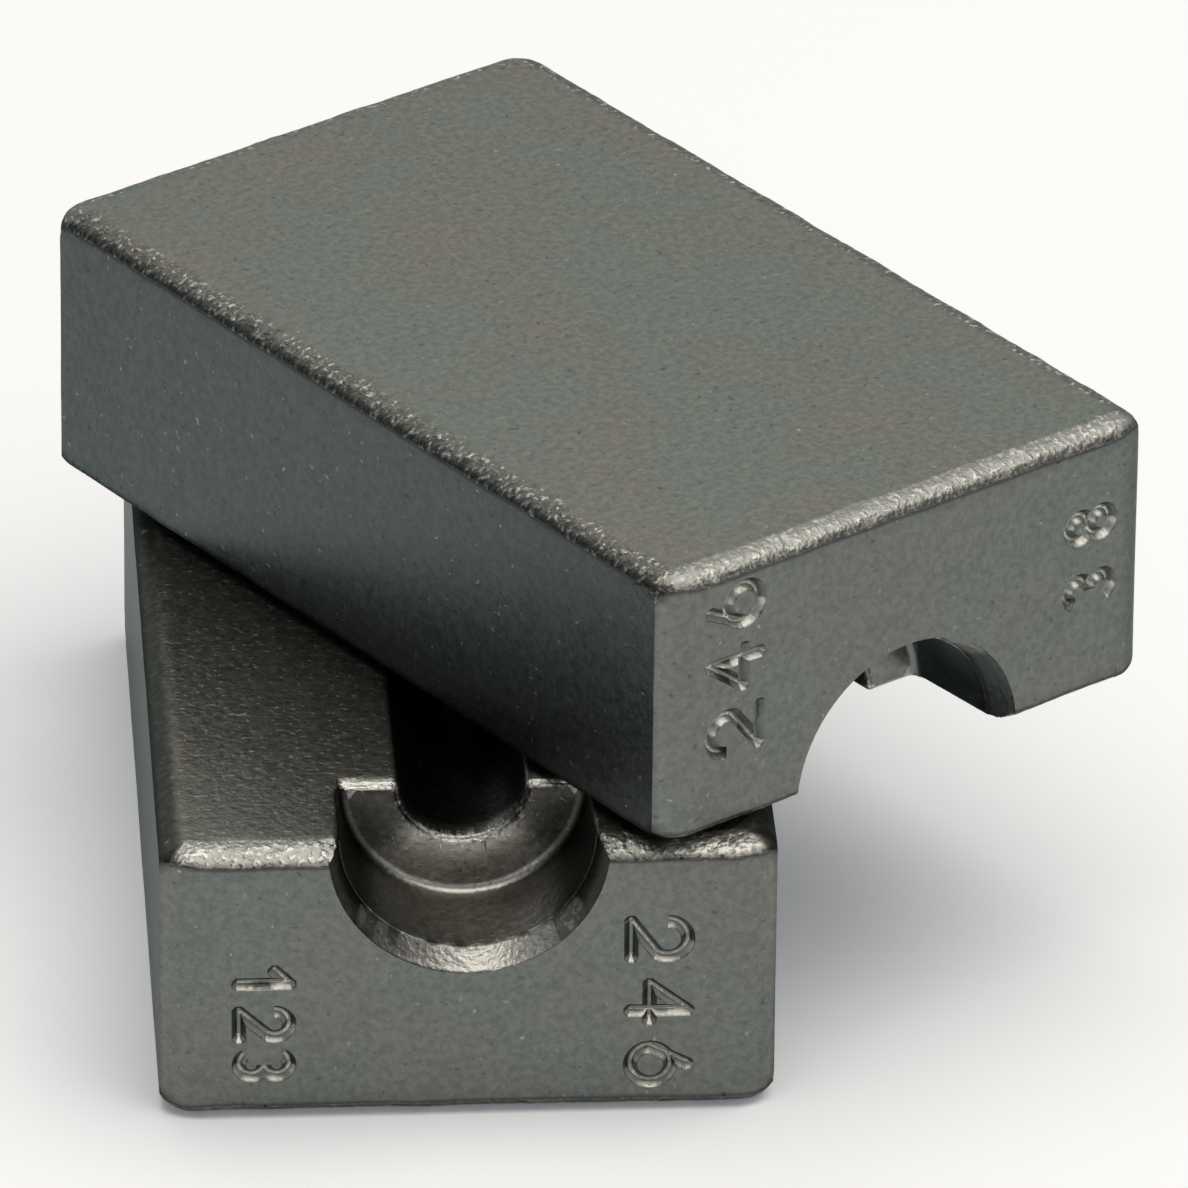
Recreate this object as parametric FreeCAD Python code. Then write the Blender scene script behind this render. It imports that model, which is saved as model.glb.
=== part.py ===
# Pair of steel die halves that grip a thin pipe while its end is flared.
#
# Both halves are the same casting. The lower half lies on its outer face with
# its mating face up. The upper half is turned over on top of it, swung round
# about the vertical, and rests on the lower half's mating face.
#
# Millimetres, +Z up. The origin is the centre of the lower half's underside,
# its pipe groove runs along Y, and its flare recess opens towards -Y.

import FreeCAD, Part
import math
import os

# Body of one half
DIE_WIDTH = 24.0
DIE_LENGTH = 40.3
DIE_HEIGHT = 11.8

# Upright corners: an arc tangent to the end wall that breaks off at the side wall
CORNER_RADIUS = 2.4
CORNER_INSET = 1.8

# Rolled edges: an arc tangent to the face that breaks off at the side wall. They
# run round the corners along a path of their own.
ROLL_PATH_RADIUS = 1.5
OUTER_ROLL_RADIUS = 1.15
OUTER_ROLL_INSET = 0.95
MATING_ROLL_RADIUS = 1.7
MATING_ROLL_INSET = 1.2

# Pipe groove, with its axis on the mating face
GROOVE_RADIUS = 2.45
GROOVE_LEAD = 0.45

# Flare recess at the front end of the groove
RECESS_DEPTH = 5.4
RECESS_MOUTH_RADIUS = 5.0
RECESS_STEP_RADIUS = 4.8
RECESS_CORNER_RADIUS = 0.35
SOFT_EDGE_RADIUS = 0.3

# Rounded rim of the recess in the front face
RIM_WIDTH = 0.45
RIM_DEPTH = 1.3
RIM_CROWN = 0.1

# Tapered strokes of the stamped digits in the front face
STROKE_WIDTH = 0.56
STROKE_FLOOR_WIDTH = 0.12
STROKE_DEPTH = 0.28
HOOK_DEG = 30

# Rows of index digits in the front face. Each row is read downwards, away from
# the mating face. A row's place is its centre line's distance from the side
# wall, and its first digit's depth below the mating face. A digit's width and
# height are measured on the centre lines of its strokes.
LOWER_LEFT_DIGITS = "123"
LOWER_LEFT_FROM_SIDE = 4.05
LOWER_LEFT_FIRST_DEPTH = 5.75
LOWER_LEFT_DIGIT_WIDTH = 1.1
LOWER_LEFT_DIGIT_HEIGHT = 1.95
LOWER_LEFT_PITCH = 1.8
LOWER_RIGHT_DIGITS = "246"
LOWER_RIGHT_FROM_SIDE = 4.6
LOWER_RIGHT_FIRST_DEPTH = 4.1
LOWER_RIGHT_DIGIT_WIDTH = 1.55
LOWER_RIGHT_DIGIT_HEIGHT = 2.2
LOWER_RIGHT_PITCH = 2.8

# The same for the upper half, before it is turned over
UPPER_LEFT_DIGITS = "38"
UPPER_LEFT_FROM_SIDE = 3.0
UPPER_LEFT_FIRST_DEPTH = 4.95
UPPER_LEFT_DIGIT_WIDTH = 1.5
UPPER_LEFT_DIGIT_HEIGHT = 2.15
UPPER_LEFT_PITCH = 2.85
UPPER_RIGHT_DIGITS = "246"
UPPER_RIGHT_FROM_SIDE = 3.4
UPPER_RIGHT_FIRST_DEPTH = 4.4
UPPER_RIGHT_DIGIT_WIDTH = 1.6
UPPER_RIGHT_DIGIT_HEIGHT = 2.4
UPPER_RIGHT_PITCH = 2.75

# How the upper half lies on the lower one
UPPER_SWING_DEG = 34.25
UPPER_SHIFT_X = 6.05
UPPER_SHIFT_Y = 2.45

# How far cutting tools stand past the faces they open
OVERCUT = 1.0
STROKE_OVERCUT = 0.1
TOLERANCE = 1e-6

UP = FreeCAD.Vector(0, 0, 1)
ALONG = FreeCAD.Vector(0, 1, 0)
FRONT_Y = -DIE_LENGTH / 2
BACK_Y = DIE_LENGTH / 2


def walled_block(bottom, top):
    """Upright block with the side walls, end walls and upright corners of a half."""
    turn = math.asin(CORNER_INSET / CORNER_RADIUS)
    arcs = []
    for side, end, angles in (
        (1, -1, (0, turn / 2, turn)),
        (1, 1, (turn, turn / 2, 0)),
        (-1, 1, (0, turn / 2, turn)),
        (-1, -1, (turn, turn / 2, 0)),
    ):
        centre = FreeCAD.Vector(
            side * (DIE_WIDTH / 2 - CORNER_INSET), end * (DIE_LENGTH / 2 - CORNER_RADIUS), bottom
        )
        arcs.append(
            [
                centre + FreeCAD.Vector(side * math.sin(angle), end * math.cos(angle), 0) * CORNER_RADIUS
                for angle in angles
            ]
        )
    edges = []
    for points, following in zip(arcs, arcs[1:] + arcs[:1]):
        edges.append(Part.Arc(*points).toShape())
        edges.append(Part.makeLine(points[-1], following[0]))
    return Part.Face(Part.Wire(edges)).extrude(UP * (top - bottom))


def rolled_block(roll_radius, roll_inset, bottom, top, rolled_face):
    """Oversize block whose edges round one face carry the full roll.

    The side walls of the die half cut that roll short, which leaves the
    sharp line where the rolled edge meets the wall.
    """
    grow = roll_radius - roll_inset
    width = DIE_WIDTH + 2 * grow
    length = DIE_LENGTH + 2 * grow
    corner = FreeCAD.Vector(-width / 2, -length / 2, bottom)
    block = Part.makeBox(width, length, top - bottom, corner)
    upright = [edge for edge in block.Edges if edge.BoundBox.ZLength > TOLERANCE]
    corner_radius = max(ROLL_PATH_RADIUS - roll_inset, SOFT_EDGE_RADIUS / 2) + roll_radius
    block = block.makeFillet(corner_radius, upright)
    rim = []
    for edge in block.Edges:
        box = edge.BoundBox
        if abs(box.ZMin - rolled_face) < TOLERANCE and abs(box.ZMax - rolled_face) < TOLERANCE:
            rim.append(edge)
    return block.makeFillet(roll_radius, rim)


def turned(profile):
    """Solid of revolution about the groove's axis, from edges in the plane x = 0."""
    return Part.Face(Part.Wire(profile)).revolve(FreeCAD.Vector(0, 0, 0), ALONG, 360)


def line(start, end):
    """Edge between two (y, z) points in the plane x = 0."""
    return Part.makeLine(FreeCAD.Vector(0, *start), FreeCAD.Vector(0, *end))


def arc(start, middle, end):
    """Circular edge through three (y, z) points in the plane x = 0."""
    points = [FreeCAD.Vector(0, *point) for point in (start, middle, end)]
    return Part.Arc(*points).toShape()


def groove_tool():
    """Round bar that cuts the pipe groove from the recess to the back face."""
    foot = FreeCAD.Vector(0, FRONT_Y, 0)
    return Part.makeCylinder(GROOVE_RADIUS, DIE_LENGTH + OVERCUT, foot, ALONG)


def recess_tool():
    """Tapered plug with a rounded end corner that cuts the flare recess."""
    step_y = FRONT_Y + RECESS_DEPTH
    taper = (RECESS_MOUTH_RADIUS - RECESS_STEP_RADIUS) / RECESS_DEPTH
    slope = math.atan(taper)
    round_turn = math.pi / 2 - slope
    setback = RECESS_CORNER_RADIUS * math.tan(round_turn / 2)
    wall_end = (
        step_y - setback * math.cos(slope),
        RECESS_STEP_RADIUS + setback * math.sin(slope),
    )
    step_start = (step_y, RECESS_STEP_RADIUS - setback)
    round_centre = (step_y - RECESS_CORNER_RADIUS, RECESS_STEP_RADIUS - setback)
    middle_angle = round_turn / 2
    round_middle = (
        round_centre[0] + RECESS_CORNER_RADIUS * math.cos(middle_angle),
        round_centre[1] + RECESS_CORNER_RADIUS * math.sin(middle_angle),
    )
    mouth = (FRONT_Y - OVERCUT, RECESS_MOUTH_RADIUS + taper * OVERCUT)
    profile = [
        line((mouth[0], 0), mouth),
        line(mouth, wall_end),
        arc(wall_end, round_middle, step_start),
        line(step_start, (step_y, 0)),
        line((step_y, 0), (mouth[0], 0)),
    ]
    return turned(profile)


def rim_tool(face_y, inward, throat_radius, width, depth):
    """Flared plug whose crowned side rounds the mouth of a hole in an end face.

    inward is +1 where the hole runs towards +Y from the face, else -1.
    """
    face_radius = throat_radius + width
    outside_y = face_y - inward * OVERCUT
    throat_y = face_y + inward * depth
    face_point = (face_y, face_radius)
    throat_point = (throat_y, throat_radius)
    run = throat_y - face_y
    rise = throat_radius - face_radius
    chord = math.hypot(run, rise)
    crown_point = (
        (face_y + throat_y) / 2 + inward * RIM_CROWN * rise / chord,
        (face_radius + throat_radius) / 2 - RIM_CROWN * abs(run) / chord,
    )
    profile = [
        line((outside_y, 0), (outside_y, face_radius)),
        line((outside_y, face_radius), face_point),
        arc(face_point, crown_point, throat_point),
        line(throat_point, (throat_y, 0)),
        line((throat_y, 0), (outside_y, 0)),
    ]
    return turned(profile)


def soft_edges(block):
    """Edges of the groove and recess that meet the mating face or the step."""
    step_y = FRONT_Y + RECESS_DEPTH
    chosen = []
    for edge in block.Edges:
        box = edge.BoundBox
        in_mating_face = abs(box.ZMin) < TOLERANCE and abs(box.ZMax) < TOLERANCE
        inside_walls = max(abs(box.XMin), abs(box.XMax)) < DIE_WIDTH / 2 - TOLERANCE
        on_end_face = box.YLength < TOLERANCE and abs(abs(box.YMin) - DIE_LENGTH / 2) < TOLERANCE
        if in_mating_face and inside_walls and not on_end_face:
            chosen.append(edge)
        at_step = abs(box.YMin - step_y) < TOLERANCE and abs(box.YMax - step_y) < TOLERANCE
        reach = max(abs(box.XMin), abs(box.XMax))
        if at_step and not in_mating_face and reach < GROOVE_RADIUS + TOLERANCE:
            chosen.append(edge)
    return chosen


def stroke_section():
    """Half widths of a stroke where its tool starts, at the face and at its floor."""
    lean = (STROKE_WIDTH - STROKE_FLOOR_WIDTH) / 2 / STROKE_DEPTH
    proud = STROKE_WIDTH / 2 + lean * STROKE_OVERCUT
    return proud, STROKE_FLOOR_WIDTH / 2


def bar_tool(start, end):
    """Tapered bar, with ends like an octagon's, between two (x, z) points."""
    proud, floor = stroke_section()
    along_x = end[0] - start[0]
    along_z = end[1] - start[1]
    length = math.hypot(along_x, along_z)
    unit = (along_x / length, along_z / length)
    cut = math.tan(math.pi / 8)
    end_corners = [(cut, 1), (1, cut), (1, -cut), (cut, -1)]
    outline = [(end, corner) for corner in end_corners]
    outline += [(start, (-corner[0], -corner[1])) for corner in end_corners]
    wires = []
    for reach, y in ((proud, FRONT_Y - STROKE_OVERCUT), (floor, FRONT_Y + STROKE_DEPTH)):
        corners = []
        for centre, (lengthwise, sideways) in outline:
            x = centre[0] + reach * (lengthwise * unit[0] - sideways * unit[1])
            z = centre[1] + reach * (lengthwise * unit[1] + sideways * unit[0])
            corners.append(FreeCAD.Vector(x, y, z))
        wires.append(Part.makePolygon(corners + corners[:1]))
    return Part.makeLoft(wires, True, True)


def bow_tool(centre, radius, start_deg, sweep_deg):
    """Tapered stroke round part of a circle in the front face."""
    proud, floor = stroke_section()
    corners = [
        FreeCAD.Vector(centre[0] + radius + side * reach, y, centre[1])
        for side, reach, y in (
            (-1, proud, FRONT_Y - STROKE_OVERCUT),
            (1, proud, FRONT_Y - STROKE_OVERCUT),
            (1, floor, FRONT_Y + STROKE_DEPTH),
            (-1, floor, FRONT_Y + STROKE_DEPTH),
        )
    ]
    section = Part.Face(Part.makePolygon(corners + corners[:1]))
    pivot = FreeCAD.Vector(centre[0], 0, centre[1])
    axis = ALONG * -1
    section.rotate(pivot, axis, start_deg)
    return section.revolve(pivot, axis, sweep_deg)


def digit_strokes(digit, width, height):
    """Bars and bows of one upright digit, centred on its own middle.

    A bow is given by its centre, radius, start angle and sweep in degrees.
    """
    side = width / 2
    top = height / 2
    ring = min(side, top / 2)
    hook = math.radians(HOOK_DEG)
    hook_end = (side * math.cos(hook), top - side - side * math.sin(hook))
    strokes = {
        "1": [
            ("bar", (0, -top), (0, top)),
            ("bar", (0, top), (-side, top - side)),
        ],
        "2": [
            ("bow", (0, top - side), side, -HOOK_DEG, 180 + HOOK_DEG),
            ("bar", hook_end, (-side, -top)),
            ("bar", (-side, -top), (side, -top)),
        ],
        "3": [
            ("bow", (0, top - ring), ring, -90, 270 - HOOK_DEG),
            ("bow", (0, ring - top), ring, HOOK_DEG - 180, 270 - HOOK_DEG),
        ],
        "4": [
            ("bar", (side / 2, top), (-side, -top / 3)),
            ("bar", (-side, -top / 3), (side, -top / 3)),
            ("bar", (side / 2, top), (side / 2, -top)),
        ],
        "6": [
            ("bow", (0, side - top), side, 0, 360),
            ("bar", (-side, side - top), (0, top)),
        ],
        "8": [
            ("bow", (0, top - ring), ring, 0, 360),
            ("bow", (0, ring - top), ring, 0, 360),
        ],
    }
    return strokes[digit]


def digit_row(digits, centre_x, first_depth, width, height, pitch):
    """Tools for a row of digits that is read downwards on the front face."""

    def laid(point, row_z):
        """Place of an upright digit's point once the digit lies on its right side."""
        return centre_x + point[1], row_z - point[0]

    tools = []
    for place, digit in enumerate(digits):
        row_z = -first_depth - place * pitch
        for stroke in digit_strokes(digit, width, height):
            if stroke[0] == "bar":
                tools.append(bar_tool(laid(stroke[1], row_z), laid(stroke[2], row_z)))
            else:
                centre = laid(stroke[1], row_z)
                tools.append(bow_tool(centre, stroke[2], stroke[3] - 90, stroke[4]))
    return tools


def die_half(mark_tools):
    """One die half, mating face up at z = 0, with its marks stamped in."""
    below = -DIE_HEIGHT
    square = Part.makeBox(
        DIE_WIDTH, DIE_LENGTH, DIE_HEIGHT, FreeCAD.Vector(-DIE_WIDTH / 2, FRONT_Y, below)
    )
    block = square.cut([groove_tool(), recess_tool()])
    block = block.makeFillet(SOFT_EDGE_RADIUS, soft_edges(block))
    front_rim = rim_tool(FRONT_Y, 1, RECESS_MOUTH_RADIUS, RIM_WIDTH, RIM_DEPTH)
    back_rim = rim_tool(BACK_Y, -1, GROOVE_RADIUS, GROOVE_LEAD, GROOVE_LEAD)
    block = block.cut([front_rim, back_rim])
    walls = walled_block(below - OVERCUT, OVERCUT)
    mating_side = rolled_block(MATING_ROLL_RADIUS, MATING_ROLL_INSET, below - OVERCUT, 0, 0)
    outer_side = rolled_block(OUTER_ROLL_RADIUS, OUTER_ROLL_INSET, below, OVERCUT, below)
    for envelope in (walls, mating_side, outer_side):
        block = block.common(envelope)
    return block.cut(mark_tools).removeSplitter()


def lower_die_half():
    """The half that lies on its outer face, mating face up."""
    marks = digit_row(
        LOWER_LEFT_DIGITS,
        LOWER_LEFT_FROM_SIDE - DIE_WIDTH / 2,
        LOWER_LEFT_FIRST_DEPTH,
        LOWER_LEFT_DIGIT_WIDTH,
        LOWER_LEFT_DIGIT_HEIGHT,
        LOWER_LEFT_PITCH,
    )
    marks += digit_row(
        LOWER_RIGHT_DIGITS,
        DIE_WIDTH / 2 - LOWER_RIGHT_FROM_SIDE,
        LOWER_RIGHT_FIRST_DEPTH,
        LOWER_RIGHT_DIGIT_WIDTH,
        LOWER_RIGHT_DIGIT_HEIGHT,
        LOWER_RIGHT_PITCH,
    )
    half = die_half(marks)
    half.translate(FreeCAD.Vector(0, 0, DIE_HEIGHT))
    return half


def upper_die_half():
    """The half that is turned over on the lower one and swung round."""
    marks = digit_row(
        UPPER_LEFT_DIGITS,
        UPPER_LEFT_FROM_SIDE - DIE_WIDTH / 2,
        UPPER_LEFT_FIRST_DEPTH,
        UPPER_LEFT_DIGIT_WIDTH,
        UPPER_LEFT_DIGIT_HEIGHT,
        UPPER_LEFT_PITCH,
    )
    marks += digit_row(
        UPPER_RIGHT_DIGITS,
        DIE_WIDTH / 2 - UPPER_RIGHT_FROM_SIDE,
        UPPER_RIGHT_FIRST_DEPTH,
        UPPER_RIGHT_DIGIT_WIDTH,
        UPPER_RIGHT_DIGIT_HEIGHT,
        UPPER_RIGHT_PITCH,
    )
    half = die_half(marks)
    half.rotate(FreeCAD.Vector(0, 0, 0), ALONG, 180)
    half.rotate(FreeCAD.Vector(0, 0, 0), UP, UPPER_SWING_DEG)
    half.translate(FreeCAD.Vector(UPPER_SHIFT_X, UPPER_SHIFT_Y, DIE_HEIGHT))
    return half


def main():
    """Write each half to its own file and print its size."""
    os.makedirs("parts", exist_ok=True)
    for name, half in (
        ("lower_die_half", lower_die_half()),
        ("upper_die_half", upper_die_half()),
    ):
        half.exportStep(f"parts/{name}.step")
        print(name, half.ShapeType, len(half.Solids), half.isValid(), round(half.Volume, 2))


if __name__ == "__main__":
    main()
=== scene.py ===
"""Looks of a pair of cast steel die halves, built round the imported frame.

Each half is a copy of its solid with a finer mesh: the cast faces wave a
little, and the rolled edges and the recess rim are rough, as trimming and
tumbling leave them. One cast finish covers both halves.
"""

import logging
import math
from dataclasses import dataclass, field
from enum import Enum

import bmesh
import bpy
from bmesh.types import BMEdge, BMesh, BMFace
from bpy.types import Material, Mesh, Node, NodeSocket, Object, World
from mathutils import Matrix, Vector, noise


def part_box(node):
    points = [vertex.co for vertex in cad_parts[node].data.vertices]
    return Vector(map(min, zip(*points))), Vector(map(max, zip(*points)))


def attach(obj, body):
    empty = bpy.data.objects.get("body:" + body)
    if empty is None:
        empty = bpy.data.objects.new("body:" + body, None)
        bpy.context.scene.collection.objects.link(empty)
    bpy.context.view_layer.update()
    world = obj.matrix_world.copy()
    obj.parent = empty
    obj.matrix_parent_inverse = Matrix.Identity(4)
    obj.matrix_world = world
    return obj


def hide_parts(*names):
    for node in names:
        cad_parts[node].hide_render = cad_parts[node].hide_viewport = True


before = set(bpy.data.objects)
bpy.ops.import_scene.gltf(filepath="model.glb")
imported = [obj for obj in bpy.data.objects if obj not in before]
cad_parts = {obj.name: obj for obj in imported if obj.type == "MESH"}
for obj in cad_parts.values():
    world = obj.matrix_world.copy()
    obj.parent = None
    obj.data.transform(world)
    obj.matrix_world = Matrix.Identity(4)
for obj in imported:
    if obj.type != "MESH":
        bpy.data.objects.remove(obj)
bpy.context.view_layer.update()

LOG = logging.getLogger("die_scene")
MM = 0.001
PLACE_LAYER = "pattern_place"
WHITE = (1.0, 1.0, 1.0, 1.0)

Colour = tuple[float, float, float, float]
Pair = tuple[float, float]


class Mark(Enum):
    """What each point of a half's surface notes for the finish, mostly from 0 to 1."""

    PEBBLED = "pebbled"
    # Bare metal: worn on edges, partly painted highlight low in the recess and on the strokes.
    BARE_AND_HIGHLIGHT = "bare"
    # Painted shade in the groove, up the recess's sides and on side edges.
    PAINTED_SHADE = "painted_shade"
    # Lines along which shade is painted: under the rolled edges and at the rim's seam.
    CREASE = "crease"
    # Painted shade on the walls, most on the long sides.
    WALL_SHADE = "wall_shade"
    STAIN = "stain"
    WARM = "warm"
    # How many raised dots the face has, which the finish paints bright as sparkle.
    SPECKLED = "speckled"


class Axis(Enum):
    """Direction in a die half's own frame."""

    ACROSS = 0
    ALONG = 1
    UP = 2


class Zone(Enum):
    """Part of a die half's surface, by how finely it is meshed."""

    PLAIN = "plain"
    STAMPED = "stamped"
    SIDE_EDGE = "side_edge"
    END_EDGE = "end_edge"
    CORNER = "corner"


class Mixer(Enum):
    """Kind of Mix node: Blender's name, number of its first input, number of its output."""

    NUMBERS = ("FLOAT", 2, 0)
    COLOURS = ("RGBA", 6, 2)


def blend(ends: Pair, share: float) -> float:
    """Number that lies a share of the way from one end to the other."""
    return ends[0] + (ends[1] - ends[0]) * share


@dataclass(frozen=True)
class Fade:
    """Smooth change of a share from 0 to 1 between two values of a measure."""

    none: float
    full: float

    def at(self, value: float) -> float:
        """Share at a value of the measure."""
        share = min(1.0, max(0.0, (value - self.none) / (self.full - self.none)))
        return share * share * (3.0 - 2.0 * share)


@dataclass(frozen=True)
class Wave:
    """Noise over a surface: how high it goes, and its waves per mm."""

    height: float
    per_mm: float

    def at(self, place: Vector, *shift: float) -> float:
        """Height at a place, about 0 on average; a shift gives other noise."""
        return self.height * noise.noise(place * self.per_mm + Vector(shift or (0.0, 0.0, 0.0)))

    def dip(self, place: Vector, *shift: float) -> float:
        """Depth at a place, from 0 to the wave's height."""
        return 0.5 * (self.height + self.at(place, *shift))


@dataclass(frozen=True)
class Camera:
    """Long lens that looks down on the pair from the front."""

    place_mm: tuple[float, float, float] = (-32.556, -597.511, 335.85)
    yaw_deg: float = 3.6925
    pitch_deg: float = 28.4048
    roll_deg: float = 0.5886
    lens_mm: float = 520.213
    sensor_mm: float = 36.0
    clip_start: float = 0.05
    clip_end: float = 20.0

    def axes(self) -> tuple[Vector, Vector, Vector]:
        """Image right, image down and viewing direction.

        Returns:
            Three unit vectors in the row's frame.
        """
        yaw = math.radians(self.yaw_deg)
        pitch = math.radians(self.pitch_deg)
        roll = math.radians(self.roll_deg)
        level = math.cos(pitch)
        forward = Vector((math.sin(yaw) * level, math.cos(yaw) * level, -math.sin(pitch)))
        level_right = Vector((math.cos(yaw), -math.sin(yaw), 0.0))
        level_down = forward.cross(level_right)
        right = math.cos(roll) * level_right - math.sin(roll) * level_down
        down = math.sin(roll) * level_right + math.cos(roll) * level_down
        return right, down, forward

    def build(self) -> None:
        """Add the camera and make it the scene's own."""
        data = bpy.data.cameras.new("front_camera")
        data.sensor_width = self.sensor_mm
        data.lens = self.lens_mm
        data.clip_start = self.clip_start
        data.clip_end = self.clip_end
        camera = bpy.data.objects.new("front_camera", data)
        bpy.context.scene.collection.objects.link(camera)
        right, down, forward = self.axes()
        matrix = Matrix((right, -down, -forward)).transposed().to_4x4()
        matrix.translation = Vector(self.place_mm) * MM
        camera.matrix_world = matrix
        bpy.context.scene.camera = camera


class NodeSheet:
    """Short way to add and join the nodes of a material or world."""

    def __init__(self, owner: Material | World) -> None:
        """Switch the owner's nodes on and keep their tree."""
        owner.use_nodes = True
        self.tree = owner.node_tree

    def add(self, kind: str, **values: object) -> Node:
        """Add a node and set its properties.

        Args:
            kind: Blender's name for the node type.
            values: properties of the node, by name.

        Returns:
            The new node.
        """
        node = self.tree.nodes.new(kind)
        for name, value in values.items():
            setattr(node, name, value)
        return node

    def put(self, node: Node, socket: str | int, value: object) -> None:
        """Set an input socket's own value, or join it to an output.

        Args:
            node: node that has the input.
            socket: the input's name or number.
            value: a plain value, or the output socket to join.
        """
        target = node.inputs[socket]
        if isinstance(value, NodeSocket):
            self.tree.links.new(value, target)
        else:
            target.default_value = value

    def math(self, operation: str, *values: object) -> NodeSocket:
        """Add a Math node.

        Args:
            operation: what the node works out.
            values: its inputs, in order, as numbers or sockets.

        Returns:
            The socket with the result.
        """
        node = self.add("ShaderNodeMath", operation=operation)
        for place, value in enumerate(values):
            self.put(node, place, value)
        return node.outputs[0]

    def ramp(self, value: NodeSocket, span: Pair, result: Pair = (0.0, 1.0)) -> NodeSocket:
        """Map a range smoothly onto another and clamp it.

        Args:
            value: socket to read.
            span: start and end of the range read.
            result: what the start and the end become.

        Returns:
            The socket with the result.
        """
        node = self.add("ShaderNodeMapRange", interpolation_type="SMOOTHSTEP")
        self.put(node, "Value", value)
        for name, number in zip(("From Min", "From Max", "To Min", "To Max"), span + result):
            self.put(node, name, number)
        return node.outputs["Result"]

    def mix(
        self, share: object, first: object, second: object, mixer: Mixer = Mixer.COLOURS
    ) -> NodeSocket:
        """Blend two colours or numbers.

        Args:
            share: share of the second one.
            first: value or socket.
            second: value or socket.
            mixer: what is blended.

        Returns:
            The socket with the result.
        """
        data_type, start, output = mixer.value
        node = self.add("ShaderNodeMix", data_type=data_type)
        for place, value in ((0, share), (start, first), (start + 1, second)):
            self.put(node, place, value)
        return node.outputs[output]


@dataclass(frozen=True)
class Pattern:
    """Noise pattern: features per mm, finer layers in it and how strong those are."""

    scale: float
    detail: float = 2.0
    roughness: float = 0.5


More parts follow.
